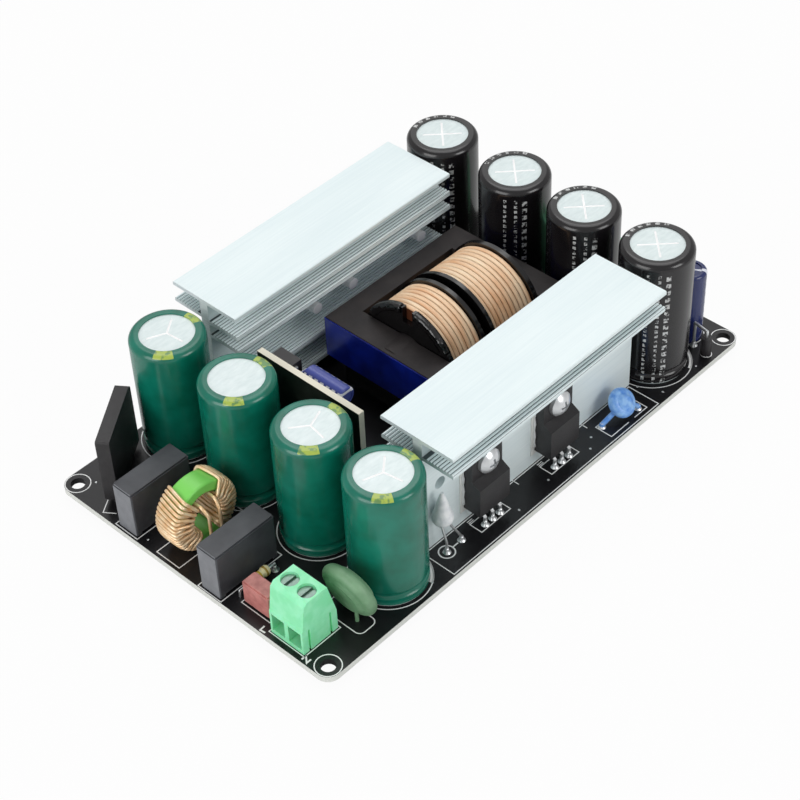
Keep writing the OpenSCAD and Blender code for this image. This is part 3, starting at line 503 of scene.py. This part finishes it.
# %% [markdown]
# ## Dipped and lacquered parts
# The inrush disc is dipped in a grey-green epoxy powder, which dries with a
# fine orange peel and runs down its leads. The bleed resistor has a cream
# lacquer with colour bands that give its value; a colour ramp along the body
# draws them. The small blue capacitor is dipped in a glossy blue resin.

# %% Epoxy coats
disc_coat, tree, shader, place = finish("grey_green_epoxy_dip", "#76a17c", 0.42)
colour_in(tree, shader, ramp(tree, grain(tree, place, 5, 3), 0.35, 0.65), "#648c68", "#7ea681")
relief(tree, shader, grain(tree, place, 0.9, 3), 0.08, 0.6)
dress(disc_coat, "inrush_disc")

blue_coat, tree, shader, place = finish("blue_epoxy_dip", "#4c84d8", 0.3, Coat_Weight=0.3)
colour_in(tree, shader, ramp(tree, grain(tree, place, 1.6, 3), 0.35, 0.65), "#5c98ea", "#96c6fb")
relief(tree, shader, grain(tree, place, 1.1, 3), 0.25, 0.8)
dress(blue_coat, "y_capacitor")

# %% Resistor lacquer with its bands
resistor_x, resistor_half, cream = -63.2, 3.2, "#efe6b6"
lacquer, tree, shader, place = finish("cream_resistor_lacquer", cream, 0.4)
along = add(tree, "ShaderNodeSeparateXYZ", {0: place}).outputs["X"]
bands = add(tree, "ShaderNodeValToRGB",
            {0: ramp(tree, along, (resistor_x - resistor_half) * MM,
                     (resistor_x + resistor_half) * MM)})
bands.color_ramp.interpolation = "CONSTANT"
for at, code in [(0.0, cream), (0.12, "#5c3417"), (0.2, cream), (0.34, "#12100f"), (0.42, cream),
                 (0.55, "#c9a227"), (0.63, cream), (0.8, "#b0903a"), (0.88, cream)]:
    bands.color_ramp.elements.new(at).color = linear(code)
tree.links.new(bands.outputs["Color"], shader.inputs["Base Color"])
relief(tree, shader, grain(tree, place, 0.3, 2), 0.02)
dress(lacquer, "bleed_resistor")
second_finish(solder, lambda c, n: abs(c.x - resistor_x) > resistor_half + 0.05, "bleed_resistor")


# %% [markdown]
# ## Box capacitors
# A moulded polyester box, filled with resin from below. The mould's fine
# spark texture makes it mid grey where it catches the light. The narrow ends
# that face the board's edge are painted paler, as painted light from the lamp
# at the left.

# %% Grey polyester box
box_grey, tree, shader, place = finish("grey_polyester_box", "#53555a", 0.45)
colour_in(tree, shader, ramp(tree, grain(tree, place, 4, 4), 0.3, 0.7), "#3f4045", "#4c4e53")
relief(tree, shader, grain(tree, place, 0.18, 2), 0.03, 0.5)
dress(box_grey, "x_capacitor_1", "x_capacitor_2")
# Painted light: the ends that face the side lamp are painted paler than the rest of the box
end_painted_light, tree, shader, place = finish("polyester_end_painted_light", "#808287", 0.5)
colour_in(tree, shader, ramp(tree, grain(tree, place, 3, 4), 0.3, 0.7), "#75777c", "#84868b")
relief(tree, shader, grain(tree, place, 0.18, 2), 0.03, 0.5)
second_finish(end_painted_light, lambda c, n: n.x < -0.9, "x_capacitor_1", "x_capacitor_2")


# %% [markdown]
# ## Choke
# A ring core in bright green enamel carries two mirrored windings of thick
# enamelled copper wire. Nineteen turns sit side by side outside the ring. In
# its hole there is less room, so every second turn rides on the others. The
# solid is an eight-sided tube; a round wire along the same path, made from
# the same rule, replaces it and catches the long highlights of the enamel.

# %% The wire's path, in mm from the foot of the ring
CHOKE = Vector((-61.9, 7.2, BOARD_TOP))
ring_d, ring_hole, ring_w, wire_d, turns, arc_angle = 17.2, 11.2, 5.6, 0.9, 19, 130.0
ring_z = ring_d / 2 + 0.4
off_ring = wire_d / 2 + 0.1
turn_out, turn_side = ring_d / 2 + off_ring, ring_w / 2 + off_ring
low_layer = ring_hole / 2 - off_ring
high_layer, climb_r = low_layer - wire_d, turn_out - 1.05 * wire_d
# Corners of a turn are cut, and a high turn climbs over its neighbours at the sides
cut, climb, stacked = 0.6, 0.7, 0.92
step_angle = arc_angle / turns
over = turn_side + stacked * wire_d
half_low = [(turn_out, turn_side - cut), (turn_out - cut, turn_side), (low_layer + cut, turn_side),
            (low_layer, turn_side - cut)]
half_high = [(turn_out, turn_side - cut), (turn_out - cut, turn_side), (climb_r, turn_side),
             (low_layer + climb, over), (high_layer + climb, over), (high_layer, over - climb)]
low_turn, high_turn = [half + [(r, -y) for r, y in reversed(half)]
                       for half in (half_low, half_high)]


def on_ring(radius, y, angle):
    a = math.radians(angle)
    return Vector((radius * math.cos(a), y, ring_z + radius * math.sin(a)))


first_angle = (step_angle - arc_angle) / 2
wire_path = [Vector((turn_out * math.cos(math.radians(first_angle)) + 0.2, turn_side - cut, z))
             for z in (0, ring_z + turn_out * math.sin(math.radians(first_angle)) - 0.7)]
for i in range(turns):
    turn_points = low_turn if i % 2 == 0 else high_turn
    if i == turns - 1:
        # The last turn ends inside the ring, where its lead begins
        turn_points = turn_points[:4]
    wire_path += [on_ring(r, y, first_angle + step_angle * i) for r, y in turn_points]
lead_x, lead_y, lead_angle = 1.6, -over - 2.1, first_angle + step_angle * (turns - 1) + 5
wire_path += [on_ring(low_layer, y, lead_angle) for y in (climb - over, -over - 0.5)]
wire_path += [Vector((lead_x, lead_y, z)) for z in (ring_z + 2.6, ring_z + 1.8, 0)]
print("choke wire:", len(wire_path), "points,",
      round(sum((b - a).length for a, b in zip(wire_path, wire_path[1:]))), "mm long")

# %% Copper enamel, and the two windings as round wire
enamel_wire, tree, shader, place = finish("enamelled_copper_wire", "#efc08c", 0.24, Metallic=0.35,
                                          Coat_Weight=0.6, Coat_Roughness=0.08)
colour_in(tree, shader, ramp(tree, grain(tree, place, 1.5, 3), 0.3, 0.7), "#eebd86", "#fde6c0")
relief(tree, shader, grain(tree, place, 0.8, 2), 0.03, 0.5)

wire_slack = 0.02
for number, side in ((1, 1), (2, -1)):
    curve = bpy.data.curves.new("choke_wire_%d" % number, "CURVE")
    curve.dimensions = "3D"
    curve.bevel_depth = (wire_d / 2 - wire_slack) * MM
    curve.bevel_resolution = 4
    spline = curve.splines.new("NURBS")
    spline.points.add(len(wire_path) - 1)
    for knot, spot in zip(spline.points, wire_path):
        knot.co = ((Vector((side * spot.x, spot.y, spot.z)) + CHOKE) * MM).to_4d()
        knot.co.w = 1
    spline.order_u = 3
    spline.use_endpoint_u = True
    spline.resolution_u = 4
    drawn = bpy.data.objects.new("choke_wire_curve_%d" % number, curve)
    bpy.context.scene.collection.objects.link(drawn)
    drawn_mesh = bpy.data.meshes.new_from_object(drawn.evaluated_get(
        bpy.context.evaluated_depsgraph_get()))
    bpy.data.objects.remove(drawn)
    bm = bmesh.new()
    bm.from_mesh(drawn_mesh)
    wire_piece = piece("choke_wire_%d" % number, bm, enamel_wire, smooth=True)
    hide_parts("choke_winding_%d" % number)

ring_enamel, tree, shader, place = finish("bright_green_ring_enamel", "#82dc63", 0.34)
relief(tree, shader, grain(tree, place, 1.5, 2), 0.04, 0.5)
dress(ring_enamel, "choke_core")


# %% [markdown]
# ## Moulded black epoxy
# Rectifier, transistors, chip and diode share one moulding compound: epoxy
# filled with silica, a very dark brownish grey, matt from the mould, with a
# few glossy specks. Their leads are tinned copper; faces below the body get
# the metal. White silicone pads lie between the transistors and the walls,
# and zinc plated screws press them on.

# %% Epoxy bodies and tinned leads
epoxy, tree, shader, place = finish("moulded_black_epoxy", "#2a282a", 0.42)
colour_in(tree, shader, ramp(tree, grain(tree, place, 3, 4), 0.3, 0.7), "#1d1b1d", "#282628")
relief(tree, shader, grain(tree, place, 0.15, 3), 0.03, 0.6)
dress(epoxy, "bridge_rectifier", "control_chip", "standing_diode", *primary_transistors,
      *output_transistors)
# Undersides of the bodies, middle and half length of the chip, ends of the diode, in mm
transistor_low, bridge_low = 6.05, 3.35
chip_y, chip_half = 10.9, 3.3
diode_low, diode_high, diode_r = 1.9, 7.3, 1.5
second_finish(solder, lambda c, n: c.z < transistor_low, *primary_transistors, *output_transistors)
second_finish(solder, lambda c, n: c.z < bridge_low, "bridge_rectifier")
second_finish(solder, lambda c, n: abs(c.y - chip_y) > chip_half, "control_chip")
second_finish(solder, lambda c, n: (c.xy - Vector(diode)).length > diode_r or
              not diode_low < c.z < diode_high, "standing_diode")

# %% Silicone pads and screws
pad_sheet, tree, shader, place = finish("white_silicone_pad", "#eceeea", 0.55)
relief(tree, shader, grain(tree, place, 0.6, 4), 0.04)
dress(pad_sheet, "insulating_pads")
dress(steel, "heatsink_screws")
# The tips that come out between the fins get a painted highlight: white, not metal, so they read
# bright in the shade of the fins
primary_tip, output_tip = 33.2, -31.7
tip_painted_highlight, tree, shader, place = finish("screw_tip_painted_highlight", "#fcfdfe", 0.35)
relief(tree, shader, grain(tree, place, 0.3, 3), 0.03)
second_finish(tip_painted_highlight, lambda c, n: 0 < c.y < primary_tip or output_tip < c.y < 0,
              "heatsink_screws")


# %% [markdown]
# ## Tall capacitors
# A drawn aluminium can, whose top carries a stamped vent that splits if the
# can ever swells. The sleeve is a PVC film shrunk over it, smooth and glossy,
# and it turns in over the rim. The green ones carry a yellow-green field on
# the rim at the minus side and opposite to it. The black ones carry pale minus
# marks down their side and short strokes on the rim. The marks are found by
# the angle round each can's own axis, so each can gets its own copy.

# %% Bare can
can_metal, tree, shader, place = finish("drawn_aluminium_can", "#ecf7f6", 0.42, Metallic=0.3)
colour_in(tree, shader, ramp(tree, grain(tree, place, 2.5, 4, (1, 3, 1)), 0.3, 0.7),
          "#d3dfdf", "#e0eaea")
relief(tree, shader, grain(tree, place, 0.35, 4, (1, 6, 1)), 0.004, 0.3)
dress(can_metal, *["%s_can_%d" % (row, i) for row in ("bulk", "output") for i in range(1, 5)])
# The stamped lines are painted white, a painted highlight brighter than the top round them
stamped, tree, shader, place = finish("stamped_vent_painted_highlight", "#ffffff", 0.5)
relief(tree, shader, grain(tree, place, 0.4, 3), 0.02, 0.5)
for row, numbers, low, high in (("bulk", (1, 3, 4), 33.6, 33.88),
                                ("output", (1, 2, 3, 4), 37.4, 37.68)):
    second_finish(stamped, lambda c, n: low < c.z < high,
                  *["%s_can_%d" % (row, i) for i in numbers])


# %% Angle, radius and height round a can
def around(tree, place, centre):
    offset = add(tree, "ShaderNodeVectorMath",
                 {0: place, 1: (centre[0] * MM, centre[1] * MM, 0)}, operation="SUBTRACT")
    parts = add(tree, "ShaderNodeSeparateXYZ", {0: offset.outputs[0]})
    angle = maths(tree, "MULTIPLY", maths(tree, "ARCTAN2", parts.outputs["Y"], parts.outputs["X"]),
                  180 / math.pi)
    flat = add(tree, "ShaderNodeCombineXYZ", {0: parts.outputs["X"], 1: parts.outputs["Y"]})
    radius = add(tree, "ShaderNodeVectorMath", {0: flat.outputs[0]}, operation="LENGTH")
    return angle, radius.outputs["Value"], parts.outputs["Z"]


def near(tree, value, middle, half):
    return maths(tree, "COMPARE", value, middle, half)


# %% Green sleeves
green_rim = 33.5
for i, cap in enumerate(bulk_caps):
    sleeve, tree, shader, place = finish("green_shrink_sleeve_%d" % (i + 1), "#0a6350", 0.25,
                                         Coat_Weight=0.25, Coat_Roughness=0.1)
    angle, radius, height = around(tree, place, cap)
    fields = maths(tree, "MAXIMUM", near(tree, angle, -138, 16), near(tree, angle, -5, 16))
    rim = maths(tree, "GREATER_THAN", height, green_rim * MM)
    faded = ramp(tree, grain(tree, place, 1.4, 5), 0.42, 0.5, 0.35, 1.0)
    patch = product(tree, fields, rim, faded)
    film = colour_in(tree, shader, ramp(tree, grain(tree, place, 6, 2), 0.3, 0.7),
                     "#056450", "#0c7a66")
    marked = add(tree, "ShaderNodeMix", {0: patch, 6: film.outputs[2], 7: linear("#a9bd52")},
                 data_type="RGBA")
    tree.links.new(marked.outputs[2], shader.inputs["Base Color"])
    relief(tree, shader, grain(tree, place, 2.2, 2), 0.03, 0.6)
    dress(sleeve, "bulk_sleeve_%d" % (i + 1))

# %% Black sleeves
# Angle and half width in degrees, pitch in mm and dark share of three columns of marks
columns = ((-124, 4.0, 2.1, 0.62), (-138, 2.4, 1.5, 0.6), (-155, 2.4, 1.5, 0.6))
marks_top, black_rim, stroke_r, stroke_half = 35.4, 36.6, 7.5, 0.5
for i, cap in enumerate(output_caps):
    sleeve, tree, shader, place = finish("black_shrink_sleeve_%d" % (i + 1), "#161416", 0.22,
                                         Coat_Weight=0.3, Coat_Roughness=0.08)
    angle, radius, height = around(tree, place, cap)
    below = maths(tree, "LESS_THAN", height, marks_top * MM)
    side_marks = None
    for middle, half, pitch_mm, share in columns:
        column = product(tree, near(tree, angle, middle, half),
                         dashes(tree, height, pitch_mm * MM, share))
        side_marks = column if side_marks is None else maths(tree, "MAXIMUM", side_marks, column)
    worn = ramp(tree, grain(tree, place, 0.7, 3), 0.42, 0.56)
    side_marks = product(tree, below, side_marks, worn)
    rim = product(tree, near(tree, radius, stroke_r * MM, stroke_half * MM),
                  maths(tree, "GREATER_THAN", height, black_rim * MM))
    rim_marks = product(tree, dashes(tree, angle, 17, 0.5), rim, worn, near(tree, angle, 60, 50))
    printed = maths(tree, "MAXIMUM", side_marks, rim_marks)
    colour_in(tree, shader, printed, "#161416", "#c9cbca")
    relief(tree, shader, grain(tree, place, 2.2, 2), 0.03, 0.6)
    dress(sleeve, "output_sleeve_%d" % (i + 1))
    print("sleeve", i + 1, "marks at", cap)


# %% [markdown]
# ## Heatsinks
# Extruded aluminium, left bare: the die draws fine streaks along the length,
# so the noise is stretched along X. The ends are sawn, which leaves coarser
# strokes across. The floors of the narrow grooves between the ribs are painted
# dark, as painted shade. Some white heat paste has been pressed out along one
# edge of each output transistor and stands there as a small wavy ridge.

# %% Extruded and sawn aluminium
extruded, tree, shader, place = finish("extruded_aluminium", "#eef8f9", 0.5, Metallic=0.1)
streaks = grain(tree, place, 0.5, 5, (0.02, 1, 1))
clouds = grain(tree, place, 12, 3, (0.3, 1, 1))
colour_in(tree, shader, ramp(tree, maths(tree, "ADD", streaks, clouds), 0.75, 1.25),
          "#e4f1f3", "#edf8f9")
tree.links.new(ramp(tree, streaks, 0.3, 0.7, 0.42, 0.52), shader.inputs["Roughness"])
relief(tree, shader, streaks, 0.006, 0.3)
sawn, tree, shader, place = finish("sawn_aluminium", "#dde6e9", 0.45, Metallic=0.4)
strokes = grain(tree, place, 0.25, 3, (1, 0.05, 1))
colour_in(tree, shader, ramp(tree, strokes, 0.3, 0.7), "#cdd8dc", "#e9f1f3")
relief(tree, shader, strokes, 0.03)
dress(extruded, "primary_heatsink", "output_heatsink")

# %% Painted shade in the grooves between the ribs, and sawn ends
# Heights of the ribs' tops on all the fins, and how far the grooves lie below them
rib_tops, groove_from, groove_to = (7.8, 15.5, 26.5, 30.6, 31.3), 0.22, 0.36
groove_painted_shade, tree, shader, place = finish("groove_aluminium_painted_shade", "#4d575b", 0.5, Metallic=0.2)
relief(tree, shader, grain(tree, place, 0.5, 4, (0.02, 1, 1)), 0.01, 0.4)
# Painted shade: the floors of the grooves between the ribs are painted dark
second_finish(groove_painted_shade, lambda c, n: n.z > 0.9 and
              any(groove_from < top - c.z < groove_to for top in rib_tops),
              "primary_heatsink", "output_heatsink")
second_finish(sawn, lambda c, n: abs(n.x) > 0.9, "primary_heatsink", "output_heatsink")

# %% Heat paste pressed out beside the output transistors
squeezed, tree, shader, place = finish("white_heat_paste", "#f1f3f3", 0.5)
relief(tree, shader, grain(tree, place, 0.7, 4), 0.1)
ridge_z = BOARD_TOP + 6.0
bm = bmesh.new()
for i, name in enumerate(output_transistors, 1):
    low, high = (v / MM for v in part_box(name))
    spots = []
    for k in range(13):
        bulge = 0.22 + 0.08 * math.sin(1.7 * k + i)
        outline = ((0, -0.02), (bulge * 2, -0.02), (bulge * 1.5, -bulge * 1.6), (0, -bulge * 1.8))
        spots.append([bm.verts.new(Vector((low.x - 0.05 - dx, high.y + dy, ridge_z + k)) * MM)
                      for dx, dy in outline])
    for a, b in zip(spots, spots[1:]):
        for k in range(4):
            bm.faces.new((a[k], a[(k + 1) % 4], b[(k + 1) % 4], b[k]))
    bm.faces.new(spots[0])
    bm.faces.new(spots[-1])
piece("squeezed_paste", bm, squeezed, smooth=True)


# %% [markdown]
# ## Transformer
# The two core halves are sintered ferrite: dark brownish grey, dry, with a few
# bright grains. One wrap of blue polyester tape holds them. The windings are
# bundles of fine enamelled strands, twisted, so every turn shows slanting
# threads; between the turns a painted shade makes it dark. The bobbin is glossy
# phenolic. A thin shiny film lies creased over the two lobes of its flange on
# the mains side.

# %% Ferrite, tape and bobbin
ferrite, tree, shader, place = finish("sintered_ferrite", "#3a3434", 0.55, Specular_IOR_Level=0.35)
colour_in(tree, shader, ramp(tree, grain(tree, place, 5, 5), 0.3, 0.7), "#231f20", "#322d2d")
relief(tree, shader, grain(tree, place, 0.4, 4), 0.04, 0.7)
dress(ferrite, "core_half_1", "core_half_2")

tape, tree, shader, place = finish("blue_polyester_tape", "#0c2088", 0.25, Coat_Weight=0.4,
                                   Coat_Roughness=0.12)
colour_in(tree, shader, ramp(tree, grain(tree, place, 8, 2), 0.35, 0.65), "#08196f", "#11299c")
relief(tree, shader, grain(tree, place, 3, 2, (1, 1, 0.3)), 0.05, 0.7)
dress(tape, "core_tape")

phenolic, tree, shader, place = finish("black_phenolic_bobbin", "#0c0b0c", 0.22, Coat_Weight=0.35,
                                       Coat_Roughness=0.1)
relief(tree, shader, grain(tree, place, 1.6, 3), 0.08, 0.7)
dress(phenolic, "transformer_bobbin")

# %% Glossy film over the two lobes of the near flange
film_black, tree, shader, place = finish("glossy_black_film", "#0b0a0b", 0.12, Coat_Weight=0.5,
                                         Coat_Roughness=0.05)
relief(tree, shader, grain(tree, place, 1.4, 3), 0.2, 0.9)
axis_y, axis_z = 0.8, 17.0
flange_x, flange_back, flange_r = 1.1, 2.3, 14.3
film_from, film_to, film_steps = 9, 58, 24
bm = bmesh.new()
for side in (1, -1):
    rings = []
    for k in range(film_steps + 1):
        a = math.radians(film_from + (film_to - film_from) * k / film_steps)
        bulge = 0.35 + 0.07 * math.sin(5 * k) + 0.06 * math.sin(2.3 * k + side)
        # Places along X and distances from the axis, down the front and over the rim
        profile = [(1.0, 12.5), (flange_x - bulge, 12.5), (1.0 - bulge, 13.4),
                   (flange_x - bulge, flange_r + 0.2), (1.5, flange_r + 0.32),
                   (flange_back, flange_r + 0.3), (flange_back, flange_r + 0.08),
                   (1.0, flange_r + 0.08)]
        rings.append([bm.verts.new(Vector((x, axis_y + side * r * math.sin(a),
                                           axis_z + r * math.cos(a))) * MM) for x, r in profile])
    for low, high in zip(rings, rings[1:]):
        for k in range(len(low)):
            after = (k + 1) % len(low)
            bm.faces.new((low[k], low[after], high[after], high[k]))
    bm.faces.new(rings[0])
    bm.faces.new(rings[-1])
piece("flange_film", bm, film_black, smooth=True)

# %% Litz wire
strand_pitch, strand_lay, swirl_scale = 0.35, 40, 500.0
coil_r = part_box("transformer_winding_1")[1].z / MM - axis_z
for number, turns_seen in ((1, 7), (2, 10)):
    name = "transformer_winding_%d" % number
    low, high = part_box(name)
    bead = (high.x - low.x) / turns_seen / 2
    litz, tree, shader, place = finish("litz_wire_bundles_with_painted_shade_%d" % number, "#e0a877", 0.42)
    offset = add(tree, "ShaderNodeVectorMath", {0: place, 1: (0, axis_y * MM, axis_z * MM)},
                 operation="SUBTRACT")
    parts = add(tree, "ShaderNodeSeparateXYZ", {0: offset.outputs[0]})
    angle = maths(tree, "ARCTAN2", parts.outputs["Z"], parts.outputs["Y"])
    flat = add(tree, "ShaderNodeCombineXYZ", {1: parts.outputs["Y"], 2: parts.outputs["Z"]})
    radius = add(tree, "ShaderNodeVectorMath", {0: flat.outputs[0]},
                 operation="LENGTH").outputs["Value"]
    # Strands side by side, slanting along the turn
    side_by_side = maths(tree, "MULTIPLY", parts.outputs["X"], 2 * math.pi / (strand_pitch * MM))
    slant = maths(tree, "ADD", side_by_side, maths(tree, "MULTIPLY", angle, strand_lay))
    strand = maths(tree, "SINE", slant)
    swirl = add(tree, "ShaderNodeCombineXYZ", {0: parts.outputs["X"],
                                               1: maths(tree, "MULTIPLY", angle, 2 * MM)})
    swirls = add(tree, "ShaderNodeTexNoise", {"Vector": swirl.outputs[0], "Scale": swirl_scale,
                                              "Detail": 4.0})
    tone = ramp(tree, swirls.outputs["Fac"], 0.3, 0.7)
    wire_tone = colour_in(tree, shader, tone, "#eab587", "#fde6c6")
    # Painted shade: the colour turns dark brown towards the core, between the turns
    painted_shade_between_turns = ramp(tree, radius, coil_r * MM - bead * 0.8, coil_r * MM - bead * 0.42)
    shaded = add(tree, "ShaderNodeMix", {0: painted_shade_between_turns, 6: linear("#5a301c"), 7: wire_tone.outputs[2]},
                 data_type="RGBA")
    tree.links.new(shaded.outputs[2], shader.inputs["Base Color"])
    relief(tree, shader, strand, 0.03, 0.5)
    dress(litz, name)
    print(name, "bead radius", round(bead / MM, 2), "mm")


# %% [markdown]
# ## Control board and small parts
# The upright control board shows its cream laminate at the sawn edges. Its
# little capacitor and the slim one at the corner wear blue film with pale
# minus marks. The thermistor is a bead under grey heat-conducting paste.

# %% Control board
control_mask, tree, shader, place = finish("dark_control_mask", "#232622", 0.35)
colour_in(tree, shader, ramp(tree, grain(tree, place, 4, 3), 0.4, 0.6), "#171a16", "#242823")
relief(tree, shader, grain(tree, place, 0.5, 3), 0.02, 0.5)
cream, tree, shader, place = finish("cream_laminate_edge", "#e9e4d2", 0.6)
relief(tree, shader, grain(tree, place, 0.25, 3, (1, 0.1, 0.1)), 0.04)
dress(control_mask, "control_board")
second_finish(cream, lambda c, n: abs(n.x) < 0.5, "control_board")

# %% Blue films with minus marks
film_blue, tree, shader, place = finish("blue_film_small", "#3a4796", 0.28, Coat_Weight=0.3)
along = add(tree, "ShaderNodeSeparateXYZ", {0: place})
mark_z, mark_half = 30.0, 0.5
marks = product(tree, near(tree, along.outputs["Z"], mark_z * MM, mark_half * MM),
                dashes(tree, along.outputs["Y"], 1.8 * MM, 0.6))
colour_in(tree, shader, marks, "#3a4796", "#eceef6")
relief(tree, shader, grain(tree, place, 1.2, 2), 0.04, 0.6)
dress(film_blue, "control_capacitor")

film_dark, tree, shader, place = finish("blue_film_slim", "#1f2b63", 0.26, Coat_Weight=0.3)
angle, radius, height = around(tree, place, slim_cap)
marks = product(tree, near(tree, angle, -60, 9), dashes(tree, height, 2.6 * MM, 0.55))
colour_in(tree, shader, marks, "#1f2b63", "#e6e9f4")
relief(tree, shader, grain(tree, place, 1.4, 2), 0.04, 0.6)
dress(film_dark, "slim_capacitor")

# %% Thermistor bead
paste, tree, shader, place = finish("grey_heat_paste", "#c6ccd2", 0.6)
colour_in(tree, shader, ramp(tree, grain(tree, place, 2, 4), 0.35, 0.65), "#d3d8dc", "#f3f5f6")
relief(tree, shader, grain(tree, place, 1.2, 4), 0.2)
dress(paste, "wall_thermistor")
bead_low = 10.0
second_finish(solder, lambda c, n: c.z < bead_low, "wall_thermistor")
